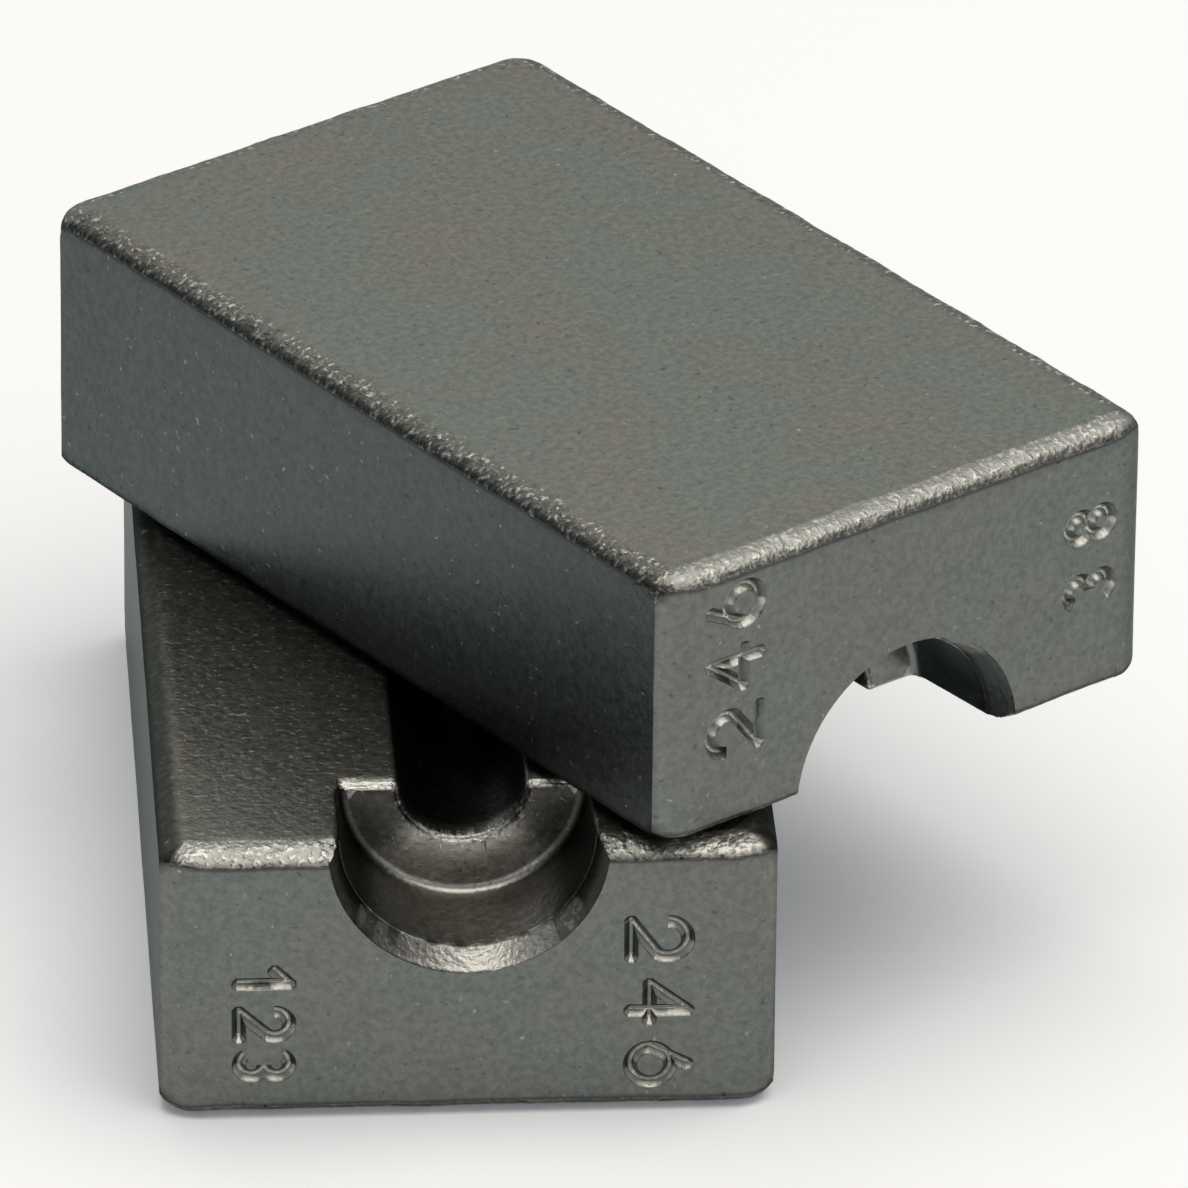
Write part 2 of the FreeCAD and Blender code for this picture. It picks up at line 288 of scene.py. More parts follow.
@dataclass(frozen=True)
class CastSteel:
    """Dark satin skin of cast steel, brighter and pebbly where its edges are worked, with painted shade and
    painted highlights in its colour.

    Heights are in millimetres. Over a span of a pattern or mark something
    appears, and a wander is how far a pattern shifts a border.
    """

    name: str = "cast_steel"
    cool: Colour = (0.248, 0.27, 0.236, 1.0)
    warm: Colour = (0.275, 0.262, 0.228, 1.0)
    # Colour of the painted shade on the walls.
    wall_shade_colour: Colour = (0.118, 0.137, 0.138, 1.0)
    metal: Colour = (0.55, 0.54, 0.5, 1.0)
    dull_metal: Colour = (0.3, 0.302, 0.275, 1.0)
    stained: Colour = (0.37, 0.35, 0.312, 1.0)
    # Colour of the painted shade in the groove, the recess and on side edges.
    painted_shade_colour: Colour = (0.065, 0.062, 0.055, 1.0)
    # Near-black colour of the mottled grime, the pits and the painted shade along the creases.
    grime_and_shade: Colour = (0.03, 0.03, 0.028, 1.0)
    edge_tint: Colour = (0.42, 0.46, 0.45, 1.0)
    face_roughness: float = 0.36
    bare_roughness: float = 0.4
    grain: Pattern = Pattern(2.6, 3.0, 0.6)
    grain_height: float = 0.03
    flank_calm: float = 0.7
    pebble: Pattern = Pattern(4.4, 1.5)
    pebble_height: float = 0.075
    tops_span: Pair = (0.03, 0.2)
    glint_span: Pair = (0.25, 0.9)
    polish_span: Pair = (1.0, 1.5)
    polish_gain: float = 0.3
    # Raised dots, painted bright as sparkle, and sunk pits.
    dots: Pattern = Pattern(3.7, 0.0)
    dot_height: float = 0.014
    dot_strength: float = 0.5
    dot_span: Pair = (0.28, 0.36)
    pit_span: Pair = (-0.26, -0.34)
    pit_dirt: float = 0.35
    speckle_gain: float = 0.13
    mottle: Pattern = Pattern(3.1, 4.0, 0.75)
    mottle_span: Pair = (0.2, -0.2)
    mottle_depth: float = 0.36
    mottle_warmth: float = 1.4
    mottle_gloss: float = 0.2
    wander: Pattern = Pattern(3.4)
    bare_wander: float = 0.9
    bare_span: Pair = (0.25, 0.7)
    shade_wander: float = 0.5
    shade_span: Pair = (0.1, 0.9)
    # Strength of the painted shade along the creases.
    crease_shade: float = 0.65

    def mark(self, sheet: NodeSheet, mark: Mark) -> NodeSocket:
        """Read one of the surface's marks."""
        return sheet.add("ShaderNodeAttribute", attribute_name=mark.value).outputs["Fac"]

    def pattern(self, sheet: NodeSheet, pattern: Pattern) -> NodeSocket:
        """Draw a pattern on the surface.

        Args:
            sheet: where the nodes go.
            pattern: which pattern.

        Returns:
            A socket from -0.5 to 0.5, about 0 on average.
        """
        place = sheet.add("ShaderNodeAttribute", attribute_name=PLACE_LAYER)
        node = sheet.add("ShaderNodeTexNoise")
        sheet.put(node, "Vector", place.outputs["Vector"])
        for name in ("Scale", "Detail", "Roughness"):
            sheet.put(node, name, getattr(pattern, name.lower()))
        return sheet.math("SUBTRACT", node.outputs["Fac"], 0.5)

    def skin(
        self,
        sheet: NodeSheet,
        mottle: NodeSocket,
        bare: NodeSocket,
        painted_shade: NodeSocket,
        pits: NodeSocket,
        tops: NodeSocket,
    ) -> NodeSocket:
        """Colour of the skin, with painted shade and painted highlights in it.

        Args:
            sheet: where the nodes go.
            mottle: fine pattern that the colour follows.
            bare: mask of bare metal: worn, and in places painted highlight and painted sparkle.
            painted_shade: mask of the painted shade in the groove, up the recess's sides and on side edges.
            pits: mask of the small sunk dots.
            tops: mask of the tops of the pebbles.

        Returns:
            The colour's socket.
        """
        warmth = sheet.math("MULTIPLY_ADD", mottle, self.mottle_warmth, self.mark(sheet, Mark.WARM))
        colour = sheet.mix(sheet.ramp(warmth, (0.0, 1.0)), self.cool, self.warm)
        # Painted shade: the walls are darker, the long sides most.
        colour = sheet.mix(self.mark(sheet, Mark.WALL_SHADE), colour, self.wall_shade_colour)
        colour = sheet.mix(self.mark(sheet, Mark.STAIN), colour, self.stained)
        # Painted shade in the groove, up the recess's sides and on side edges.
        colour = sheet.mix(painted_shade, colour, self.painted_shade_colour)
        shade = sheet.ramp(mottle, self.mottle_span, (0.0, self.mottle_depth))
        colour = sheet.mix(shade, colour, self.grime_and_shade)
        # Bare metal: worn edges, painted highlights on the fillet and strokes, painted sparkle on raised
        # dots and pebble glints.
        colour = sheet.mix(bare, colour, sheet.mix(tops, self.dull_metal, self.metal))
        # Painted shade along the creases and the rim's seam; the pits are real sunk dots.
        painted_crease_shade = sheet.math("MULTIPLY", self.mark(sheet, Mark.CREASE), self.crease_shade)
        return sheet.mix(sheet.math("MULTIPLY_ADD", pits, self.pit_dirt, painted_crease_shade), colour, self.grime_and_shade)

    def build(self) -> Material:
        """Make the material.

        Returns:
            The finish for both halves.
        """
        material = bpy.data.materials.new(self.name)
        sheet = NodeSheet(material)
        shader = sheet.tree.nodes["Principled BSDF"]
        sheet.put(shader, "Metallic", 1.0)
        sheet.put(shader, "Specular Tint", self.edge_tint)
        grain = self.pattern(sheet, self.grain)
        pebble = self.pattern(sheet, self.pebble)
        mottle = self.pattern(sheet, self.mottle)
        wander = self.pattern(sheet, self.wander)
        dots = self.pattern(sheet, self.dots)
        pebbled = self.mark(sheet, Mark.PEBBLED)
        specks = sheet.math("MULTIPLY_ADD", self.mark(sheet, Mark.SPECKLED), self.speckle_gain, dots)
        # Raised dots, lifted by the bump and painted bright as sparkle.
        raised_sparkle = sheet.ramp(specks, self.dot_span, (0.0, self.dot_strength))
        pits = sheet.ramp(dots, self.pit_span)
        polish = sheet.ramp(self.mark(sheet, Mark.BARE_AND_HIGHLIGHT), self.polish_span, (0.0, self.polish_gain))
        worn = sheet.ramp(sheet.math("ADD", pebble, polish), self.tops_span)
        glints = sheet.math("MULTIPLY", worn, sheet.ramp(pebbled, self.glint_span))

        calm = -self.flank_calm * self.grain_height
        grain_height = sheet.math("MULTIPLY_ADD", self.mark(sheet, Mark.WALL_SHADE), calm, self.grain_height)
        grained = sheet.math("MULTIPLY", grain, grain_height)
        height = sheet.math("MULTIPLY_ADD", raised_sparkle, self.dot_height, grained)
        rough = sheet.math("MULTIPLY", pebbled, self.pebble_height)
        bump = sheet.add("ShaderNodeBump")
        sheet.put(bump, "Distance", MM)
        sheet.put(bump, "Height", sheet.math("MULTIPLY_ADD", pebble, rough, height))
        sheet.put(shader, "Normal", bump.outputs["Normal"])

        # Bare metal from the mark, partly worn and partly painted highlight, with a ragged border.
        ragged = sheet.math("MULTIPLY_ADD", wander, self.bare_wander, self.mark(sheet, Mark.BARE_AND_HIGHLIGHT))
        rubbed_and_highlight = sheet.ramp(ragged, self.bare_span)
        # The raised dots and the pebble glints are painted sparkle in bare metal.
        bare = sheet.math("MAXIMUM", rubbed_and_highlight, sheet.math("MAXIMUM", raised_sparkle, glints))
        # Painted shade, with a wandering border.
        cloudy = sheet.math("MULTIPLY_ADD", wander, self.shade_wander, self.mark(sheet, Mark.PAINTED_SHADE))
        painted_shade = sheet.ramp(cloudy, self.shade_span)
        sheet.put(shader, "Base Color", self.skin(sheet, mottle, bare, painted_shade, pits, worn))

        face = sheet.math("MULTIPLY_ADD", mottle, self.mottle_gloss, self.face_roughness)
        gloss = self.bare_roughness - self.face_roughness
        sheet.put(shader, "Roughness", sheet.math("MULTIPLY_ADD", bare, gloss, face))
        return material


@dataclass(frozen=True)
class Studio:
    """Pale floor, one large soft lamp overhead and an even pale surround.

    Lengths are in metres. Over a band of directions, low, high or behind, the
    surround changes.
    """

    floor_half_size: float = 1.5
    floor_shade: Colour = (0.8, 0.8, 0.8, 1.0)
    floor_lift: Colour = (0.092, 0.1, 0.112, 1.0)
    sky_low: float = 0.85
    sky_high: float = 0.14
    sky_back: float = 1.0
    sky_fill: float = 0.24
    low_band: Pair = (0.05, 0.4)
    back_band: Pair = (0.55, 0.8)
    behind_band: Pair = (0.35, 0.75)
    lamp_place: tuple[float, float, float] = (0.09, -0.02, 0.5)
    lamp_size: Pair = (0.62, 0.66)
    lamp_power: float = 2.6
    lamp_colour: tuple[float, float, float] = (1.0, 0.965, 0.915)

    def build(self) -> None:
        """Add floor, surround and lamp, and set the plain view transform."""
        self.floor()
        self.surround()
        self.lamp()
        bpy.context.scene.view_settings.view_transform = "Standard"

    def seen(self, sheet: NodeSheet) -> NodeSocket:
        """Mask of the rays that show the surroundings themselves.

        Args:
            sheet: where the nodes go.

        Returns:
            A socket that is 1 for camera, glossy and transmission rays.
        """
        rays = sheet.add("ShaderNodeLightPath").outputs
        some = sheet.math("MAXIMUM", rays["Is Camera Ray"], rays["Is Glossy Ray"])
        return sheet.math("MAXIMUM", some, rays["Is Transmission Ray"])

    def floor(self) -> None:
        """Add the floor, which looks white and keeps the shadow."""
        mesh = bpy.data.meshes.new("floor")
        plane = bmesh.new()
        bmesh.ops.create_grid(plane, x_segments=1, y_segments=1, size=self.floor_half_size)
        plane.to_mesh(mesh)
        plane.free()
        floor = bpy.data.objects.new("floor", mesh)
        bpy.context.scene.collection.objects.link(floor)
        material = bpy.data.materials.new("pale_floor")
        sheet = NodeSheet(material)
        shader = sheet.tree.nodes["Principled BSDF"]
        sheet.put(shader, "Roughness", 1.0)
        sheet.put(shader, "Specular IOR Level", 0.0)
        seen = self.seen(sheet)
        sheet.put(shader, "Base Color", sheet.mix(seen, self.floor_shade, WHITE))
        sheet.put(shader, "Emission Color", self.floor_lift)
        sheet.put(shader, "Emission Strength", seen)
        mesh.materials.append(material)

    def surround(self) -> None:
        """Light from all round: white near the horizon, dimmer overhead."""
        world = bpy.data.worlds.new("surround")
        bpy.context.scene.world = world
        sheet = NodeSheet(world)
        back = sheet.tree.nodes["Background"]
        direction = sheet.add("ShaderNodeSeparateXYZ")
        sheet.put(direction, 0, sheet.add("ShaderNodeTexCoord").outputs["Generated"])
        height = direction.outputs["Z"]
        even = sheet.ramp(height, self.low_band, (self.sky_low, self.sky_high))
        backdrop = sheet.ramp(height, self.back_band, (self.sky_back, self.sky_high))
        behind = sheet.ramp(direction.outputs["Y"], self.behind_band)
        shown = sheet.mix(behind, even, backdrop, Mixer.NUMBERS)
        sheet.put(back, "Color", WHITE)
        strength = sheet.mix(self.seen(sheet), self.sky_fill, shown, Mixer.NUMBERS)
        sheet.put(back, "Strength", strength)

    def lamp(self) -> None:
        """Add the soft lamp, which faces the pair."""
        data = bpy.data.lights.new("soft_lamp", "AREA")
        data.shape = "RECTANGLE"
        data.size, data.size_y = self.lamp_size
        data.energy = self.lamp_power
        data.color = self.lamp_colour
        lamp = bpy.data.objects.new("soft_lamp", data)
        bpy.context.scene.collection.objects.link(lamp)
        place = Vector(self.lamp_place)
        lamp.location = place
        lamp.rotation_euler = (-place).to_track_quat("-Z", "Y").to_euler()


@dataclass(frozen=True)
class Roll:
    """Rolled edge in mm: an arc tangent to the face that breaks off inset further out.

    The worked band on it starts at band from the wall.
    """

    radius: float
    inset: float
    band: float

    def drop(self, reach: float) -> float:
        """Depth of the arc under the face at some reach from where it starts."""
        return self.radius - math.sqrt(max(0.0, self.radius**2 - reach**2))


@dataclass
class DieShape:
    """Shape of a die half in its own frame: mating face up at z = 0, front end at -Y.

    Lengths are in millimetres. A spare is how far past its form a test reaches.
    """

    width: float
    length: float
    height: float
    mating_roll: Roll = Roll(1.7, 1.2, 1.22)
    outer_roll: Roll = Roll(1.15, 0.95, 1.05)
    roll_path_radius: float = 1.5
    roll_reach: float = 1.3
    roll_depth: float = 0.75
    arc_share: float = 0.98
    corner_radius: float = 2.4
    corner_inset: float = 1.8
    groove_radius: float = 2.45
    step_radius: float = 4.8
    step_depth: float = 5.4
    step_spare: float = 0.2
    soft_edge: float = 0.3
    rim_radius: float = 5.45
    rim_depth: float = 1.3
    wall_radius: float = 4.95
    wall_spare: float = 0.08
    seam_spare: float = 0.02
    seam_reach: float = 0.1
    recess_start: float = 0.05
    recess_top: float = 0.02
    touching: float = 0.001
    stroke_depth: float = 0.28
    stroke_spare: float = 0.05
    stroke_least: float = 0.01
    stamp_cell: float = 0.35
    stamp_border: float = 0.6
    rim_border: float = 0.3
    stamped_cells: set[tuple[int, int]] = field(default_factory=set)

    def from_front(self, point: Vector) -> float:
        """Distance behind the front face."""
        return point.y + self.length / 2

    def from_axis(self, point: Vector) -> float:
        """Distance from the groove's axis."""
        return math.hypot(point.x, point.z)

    def lowness(self, point: Vector) -> float:
        """Where a point lies round the groove's axis: 0 beside it, 1 right under it."""
        return -point.z / max(self.from_axis(point), 1.0)

    def upper_part(self, point: Vector) -> bool:
        """Whether a point is nearer to the mating face than to the outer one."""
        return point.z > -self.height / 2

    def roll(self, point: Vector) -> Roll:
        """Rolled edge of the face that a point is nearer to."""
        return self.mating_roll if self.upper_part(point) else self.outer_roll

    def into_corner(self, point: Vector) -> Pair:
        """How far a point lies beyond the start of an upright corner's arc, across and along."""
        beside = self.corner_inset - self.width / 2 + abs(point.x)
        return beside, self.corner_radius - self.length / 2 + abs(point.y)

    def from_wall(self, point: Vector) -> float:
        """Distance from the nearest side wall, end wall or upright corner.

        Args:
            point: place on the half.

        Returns:
            A distance in mm.
        """
        beside, behind = self.into_corner(point)
        side = self.corner_inset - beside
        end = self.corner_radius - (math.hypot(beside, behind) if min(beside, behind) > 0.0 else behind)
        return min(side, end)

    def from_break(self, point: Vector) -> float:
        """Height of a point over the line where the nearest rolled edge breaks off.

        Args:
            point: place on the half.

        Returns:
            A height in mm, below zero on the wall.
        """
        roll = self.roll(point)
        beside = max(0.0, self.roll_path_radius - self.width / 2 + abs(point.x))
        behind = max(0.0, self.roll_path_radius - self.length / 2 + abs(point.y))
        reach = math.hypot(beside, behind) + roll.inset - self.roll_path_radius
        from_face = -point.z if self.upper_part(point) else point.z + self.height
        return roll.drop(min(reach, self.arc_share * roll.radius)) - from_face

    def before_edge(self, point: Vector) -> float:
        """How far a point of a soft edge of the step lies outside the edge's chord.

        Args:
            point: place on the half.

        Returns:
            A distance in mm, or -1 well away from those edges.
        """
        behind_step = self.from_front(point) - self.step_depth
        from_axis = self.from_axis(point)
        inwards = from_axis - self.groove_radius
        if self.groove_radius < abs(point.x) < self.step_radius:
            inwards = min(inwards, -point.z)
        if min(behind_step, inwards) < -self.touching or from_axis > self.step_radius:
            return -1.0
        return self.soft_edge - behind_step - inwards

    def in_recess(self, point: Vector) -> bool:
        """Whether a point lies on the rim, wall or step of the recess.

        Args:
            point: place on the half.

        Returns:
            True inside the recess.
        """
        from_front = self.from_front(point)
        reach = self.rim_radius if from_front < self.rim_depth else self.wall_radius + self.wall_spare
        inside = self.recess_start < from_front < self.step_depth + self.step_spare
        return inside and point.z < -self.recess_top and self.from_axis(point) < reach

    def on_seam(self, point: Vector) -> bool:
        """Whether a point lies where the rim of the recess meets its wall."""
        near_wall = abs(self.from_axis(point) - self.wall_radius) <= self.seam_reach
        return near_wall and abs(self.from_front(point) - self.rim_depth) <= self.seam_spare

    def under_front(self, point: Vector) -> bool:
        """Whether a point is sunk in the flat of the front face, as only the digits' strokes are.

        Args:
            point: place on the half.

        Returns:
            True for points of the strokes.
        """
        deepest = self.stroke_depth + self.stroke_spare
        sunk = self.stroke_least < self.from_front(point) < deepest and self.from_wall(point) < deepest
        off_rim = self.from_axis(point) > self.rim_radius + self.rim_border
        off_corner = self.width / 2 - abs(point.x) > self.corner_inset
        off_rolls = self.stamp_border < -point.z < self.height - self.stamp_border
        return sunk and off_rim and off_corner and off_rolls

    def cell_of(self, point: Vector) -> tuple[int, int]:
        """Cell of the front face that a point lies in."""
        return math.floor(point.x / self.stamp_cell), math.floor(point.z / self.stamp_cell)

    def note_stamps(self, body: BMesh) -> None:
        """Note the cells of the front face in and beside which a digit's stroke lies.

        Args:
            body: the half's mesh, in its own frame.
        """
        self.stamped_cells.clear()
        for vertex in body.verts:
            if self.under_front(vertex.co):
                cell_x, cell_z = self.cell_of(vertex.co)
                around = range(cell_z - 1, cell_z + 2)
                self.stamped_cells |= {(x, z) for x in range(cell_x - 1, cell_x + 2) for z in around}

    def stamped(self, point: Vector) -> bool:
        """Whether a point lies on or beside a stroke of a digit."""
        near_front = self.from_front(point) < self.stroke_depth + self.stroke_spare
        return near_front and self.cell_of(point) in self.stamped_cells


@dataclass(frozen=True)
class Mesher:
    """Cuts a half's mesh up finely enough for the relief. Steps and gaps are in mm."""

    shape: DieShape
    merge_gap: float = 0.0004
    flat_deg: float = 0.2
    crease_deg: float = 24.0
    coarse_step: float = 1.0
    plain_step: float = 0.6
    fine_step: float = 0.1
    cross_step: float = 0.16
    corner_step: float = 0.13
    stroke_step: float = 0.11
    long_enough: float = 1.35
    along_share: float = 0.7
    passes: int = 2
    most_cuts: int = 16
    cut_gap: float = 1e-5
    roll_spare: float = 1e-4
    edge_spare: float = 0.05
    rim_spare: float = 0.1
    presses: int = 4
    least_turn: float = 0.8

    def merged(self, mesh: Mesh, to_half: Matrix) -> BMesh:
        """Copy a solid's mesh into the half's own frame and merge it.

        Args:
            mesh: mesh of the solid.
            to_half: turns the mesh into the half's frame and mm.

        Returns:
            A closed mesh of large flat faces, its creases marked sharp.
        """
        body = bmesh.new()
        body.from_mesh(mesh)
        body.transform(to_half)
        bmesh.ops.remove_doubles(body, verts=body.verts[:], dist=self.merge_gap)
        flat = math.radians(self.flat_deg)
        bmesh.ops.dissolve_limit(
            body, angle_limit=flat, verts=body.verts[:], edges=body.edges[:], delimit={"NORMAL"}
        )
        crease = math.radians(self.crease_deg)
        for edge in body.edges:
            seam = all(self.shape.on_seam(vertex.co) for vertex in edge.verts)
            edge.smooth = edge.calc_face_angle(0.0) < crease and not seam
        self.shape.note_stamps(body)
        return body

    def planes(self) -> list[tuple[Axis, float]]:
        """Cutting planes about a millimetre apart, between the rolled edges.

        Returns:
            Pairs of an axis and a place on it.
        """
        shape = self.shape
        spans = (
            (Axis.ACROSS, shape.roll_reach - shape.width / 2, shape.width / 2 - shape.roll_reach),
            (Axis.ALONG, shape.roll_reach - shape.length / 2, shape.length / 2 - shape.roll_reach),
            (Axis.UP, shape.roll_depth - shape.height, -shape.roll_depth),
        )
        cuts = []
        for axis, low, high in spans:
            count = math.ceil((high - low) / self.coarse_step)
            cuts += [(axis, low + (high - low) * step / count) for step in range(count + 1)]
        return cuts

    def slice_up(self, body: BMesh) -> None:
        """Cut every face along the coarse planes.

        Args:
            body: the half's mesh.
        """
        for axis, at in self.planes():
            normal = Vector((0.0, 0.0, 0.0))
            normal[axis.value] = 1.0
            parts = body.faces[:] + body.edges[:] + body.verts[:]
            middle = normal * at
            bmesh.ops.bisect_plane(body, geom=parts, dist=self.cut_gap, plane_co=middle, plane_no=normal)

    def in_mouth(self, point: Vector) -> bool:
        """Whether a point lies on the recess's rim or a soft edge of its step.

        Args:
            point: place on the half.

        Returns:
            True there, so that it is meshed as an upright corner is.
        """
        shape = self.shape
        from_axis = shape.from_axis(point)
        in_rim = shape.step_radius < from_axis < shape.rim_radius + self.rim_spare
        if in_rim and shape.from_front(point) < shape.rim_depth + self.edge_spare:
            return True
        behind_step = shape.from_front(point) - shape.step_depth
        if math.hypot(from_axis - shape.groove_radius, behind_step) < shape.soft_edge + self.rim_spare:
            return True
        soft = shape.soft_edge + self.edge_spare
        beside_groove = shape.groove_radius < abs(point.x) < shape.step_radius
        return beside_groove and point.z > -soft and abs(behind_step) < soft

    def zone(self, point: Vector) -> Zone:
        """Part of the surface that a point lies in.

        Args:
            point: place on the half.

        Returns:
            The point's zone.
        """
        shape = self.shape
        if self.in_mouth(point):
            return Zone.CORNER
        if shape.stamped(point):
            return Zone.STAMPED
        depth = shape.roll_depth + self.roll_spare
        reach = shape.roll_reach + self.roll_spare
        if depth - shape.height < point.z < -depth:
            return Zone.PLAIN
        at_side = abs(point.x) > shape.width / 2 - reach
        at_end = abs(point.y) > shape.length / 2 - reach
        if at_side and at_end:
            return Zone.CORNER
        if at_side:
            return Zone.SIDE_EDGE
        return Zone.END_EDGE if at_end else Zone.PLAIN

    def wanted_length(self, edge: BMEdge) -> float:
        """Longest length that a mesh edge may keep where it lies.

        Args:
            edge: the edge.

        Returns:
            A length in mm.
        """
        start, end = (vertex.co for vertex in edge.verts)
        run = end - start
        zone = self.zone((start + end) / 2)
        steps = {Zone.CORNER: self.corner_step, Zone.STAMPED: self.stroke_step, Zone.PLAIN: self.plain_step}
        if zone in steps:
            return steps[zone]
        along = run.y if zone is Zone.SIDE_EDGE else run.x
        return self.fine_step if abs(along) > self.along_share * run.length else self.cross_step

    def convex(self, face: BMFace) -> bool:
        """Whether a face turns the same way at each of its corners.

        Args:
            face: the face.

        Returns:
            False for a face with a hollow corner.
        """
        for loop in face.loops:
            before = loop.vert.co - loop.link_loop_prev.vert.co
            after = loop.link_loop_next.vert.co - loop.vert.co
            if before.cross(after).dot(face.normal) < 0.0:
                return False
        return True

    def split_ngons(self, body: BMesh) -> None:
        """Divide the faces that can't be subdivided evenly into triangles.

        Args:
            body: the half's mesh.
        """
        body.normal_update()
        odd = [face for face in body.faces if len(face.verts) > 4 or not self.convex(face)]
        bmesh.ops.triangulate(body, faces=odd)

    def refine(self, body: BMesh) -> None:
        """Divide the mesh until its edges suit the relief.

        Args:
            body: the half's mesh.
        """
        self.split_ngons(body)
        for _ in range(self.passes):
            by_cuts: dict[int, list[BMEdge]] = {}
            for edge in body.edges:
                length = edge.calc_length()
                wanted = self.wanted_length(edge)
                if length > self.long_enough * wanted:
                    cuts = min(math.ceil(length / wanted) - 1, self.most_cuts)
                    by_cuts.setdefault(cuts, []).append(edge)
            for cuts in sorted(by_cuts, reverse=True):
                edges = [edge for edge in by_cuts[cuts] if edge.is_valid]
                bmesh.ops.subdivide_edges(
                    body, edges=edges, cuts=cuts, use_grid_fill=True, use_single_edge=True
                )
            self.split_ngons(body)

    def press(self, body: BMesh, moves: list[Vector]) -> None:
        """Move the vertices, those of a face together where it would turn too far.

        Args:
            body: the half's mesh.
            moves: how far each vertex would go, in mm; changed for faces that turn.
        """
        body.verts.index_update()
        starts = [vertex.co.copy() for vertex in body.verts]
        normals = [face.normal.copy() for face in body.faces]
        for _ in range(self.presses):
            for vertex, start, move in zip(body.verts, starts, moves):
                vertex.co = start + move
            body.normal_update()
            for face, normal in zip(body.faces, normals):
                if face.normal.dot(normal) < self.least_turn:
                    corners = [vertex.index for vertex in face.verts]
                    shared = sum((moves[corner] for corner in corners), Vector()) / len(corners)
                    for corner in corners:
                        moves[corner] = shared
        for vertex, start, move in zip(body.verts, starts, moves):
            vertex.co = start + move


@dataclass(frozen=True)
class Wear:
    """What the finish reads from each point: how rough, bare, stained or warm it is, and where shade and
    highlights are painted.

    Fades are over lengths in mm, or over how low a point lies in the recess.
    Of a pair of strengths, the first is for the outer face and the second
    for the mating face, or the first is beside the groove and the second low.
    """

    shape: DieShape
    seed: float
    used: float
    band_wave: Wave = Wave(0.14, 0.8)
    band_border: Fade = Fade(0.2, -0.2)
    band_line: Fade = Fade(-0.12, 0.0)
    end_border: Fade = Fade(-0.5, 0.5)
    mating_part: Fade = Fade(-0.6, -0.4)
    face_top: Fade = Fade(-0.05, -0.01)
    rim_wave: Wave = Wave(0.3, 1.6)
    rim_outer: Fade = Fade(-0.01, -0.07)
    rim_inner: Fade = Fade(0.25, -0.15)
    rim_low: Fade = Fade(0.55, 0.88)
    edge_chord: Fade = Fade(-0.06, 0.02)
    corner_start: Fade = Fade(0.0, 0.5)
    # Painted highlight on the strokes' walls that face up.
    stroke_highlight: float = 1.5
    stroke_wall: Fade = Fade(0.0, 0.05)
    stroke_up: Fade = Fade(0.05, 0.25)
    side_pebbles: Pair = (1.0, 0.05)
    end_pebbles: Pair = (0.85, 1.1)
    face_pebbles: float = 0.22
    corner_pebbles: float = 0.15
    rim_pebbles: float = 0.5
    edge_pebbles: float = 0.6
    polish: Pair = (0.95, 1.2)
    polish_wave: Wave = Wave(0.4, 0.35)
    front_part: Fade = Fade(0.0, -1.0)
    # Bare metal low on the rim and mouth, worn and partly painted highlight; on the fillet, painted
    # highlight.
    rim_bare_and_highlight: float = 1.9
    mouth_bare_and_highlight: float = 1.4
    mouth_border: float = 0.6
    mouth_low: Fade = Fade(0.6, 0.85)
    fillet_highlight: Pair = (0.15, 1.5)
    fillet_line: Fade = Fade(0.3, 0.2)
    fillet_low: Fade = Fade(0.7, 0.9)
    groove_border: Fade = Fade(0.12, 0.02)
    groove_start: Fade = Fade(0.4, 1.4)
    # Painted shade on the side edges and in the recess.
    side_shade: Pair = (0.35, 0.8)
    side_border: Fade = Fade(1.3, 0.5)
    recess_shade: float = 0.85
    recess_high: Fade = Fade(0.95, 0.5)
    recess_in: Fade = Fade(0.1, 1.2)
    break_line: Fade = Fade(0.24, 0.06)
    break_drop: float = 0.06
    seam_line: Fade = Fade(0.3, 0.12)
    facing: Fade = Fade(0.5, 0.9)
    end_shade: float = 0.55
    recess_stain: Pair = (0.7, 1.0)
    stain_low: Fade = Fade(0.55, 0.95)
    warm_level: float = 0.32
    warm_patches: Wave = Wave(0.75, 0.16)
    warm_octaves: tuple[float, float, int] = (0.7, 2.0, 4)
    warm_border: float = 0.22
    warm_reach: Fade = Fade(5.0, 1.5)

    def mating(self, point: Vector) -> float:
        """Which face a point is near: 0 the outer one, 1 the mating one."""
        return self.mating_part.at(point.z / self.shape.height)

    def rolled(self, point: Vector) -> float:
        """How much a point lies on a rolled edge, whose band has a wavy border.

        Args:
            point: place on the half.

        Returns:
            1 on the edge, 0 off it.
        """
        wander = self.band_wave.at(Vector((point.x, point.y, self.seed)))
        inwards = self.shape.from_wall(point) + wander - self.shape.roll(point).band
        return self.band_border.at(inwards) * self.band_line.at(self.shape.from_break(point))

    def at_end(self, point: Vector) -> float:
        """How much a point near an edge belongs to an end: 1 there, 0 along a side."""
        at_side = self.shape.width / 2 - abs(point.x)
        return self.end_border.at(at_side - self.shape.length / 2 + abs(point.y))

    def rim(self, point: Vector) -> float:
        """How much a point lies on the rim of the recess, whose inner border is ragged.

        Args:
            point: place on the half.

        Returns:
            1 low on the rim, 0 off it and high at its sides.
        """
        wander = self.rim_wave.at(Vector((point.x, point.z, self.seed)))
        outside = self.rim_outer.at(self.shape.from_axis(point) - self.shape.rim_radius)
        inside = self.rim_inner.at(self.shape.from_front(point) + wander - self.shape.rim_depth)
        return self.rim_low.at(self.shape.lowness(point) + wander) * outside * inside

    def step_edge(self, point: Vector) -> float:
        """How much a point lies on the groove's mouth or the step's upper edges."""
        return self.edge_chord.at(self.shape.before_edge(point))

    def upright_corner(self, point: Vector) -> float:
        """How much a point lies on an upright corner: 0 where it meets the end, 1 towards the side."""
        beside, behind = self.shape.into_corner(point)
        return self.corner_start.at(beside / self.shape.corner_inset) if min(beside, behind) > 0.0 else 0.0

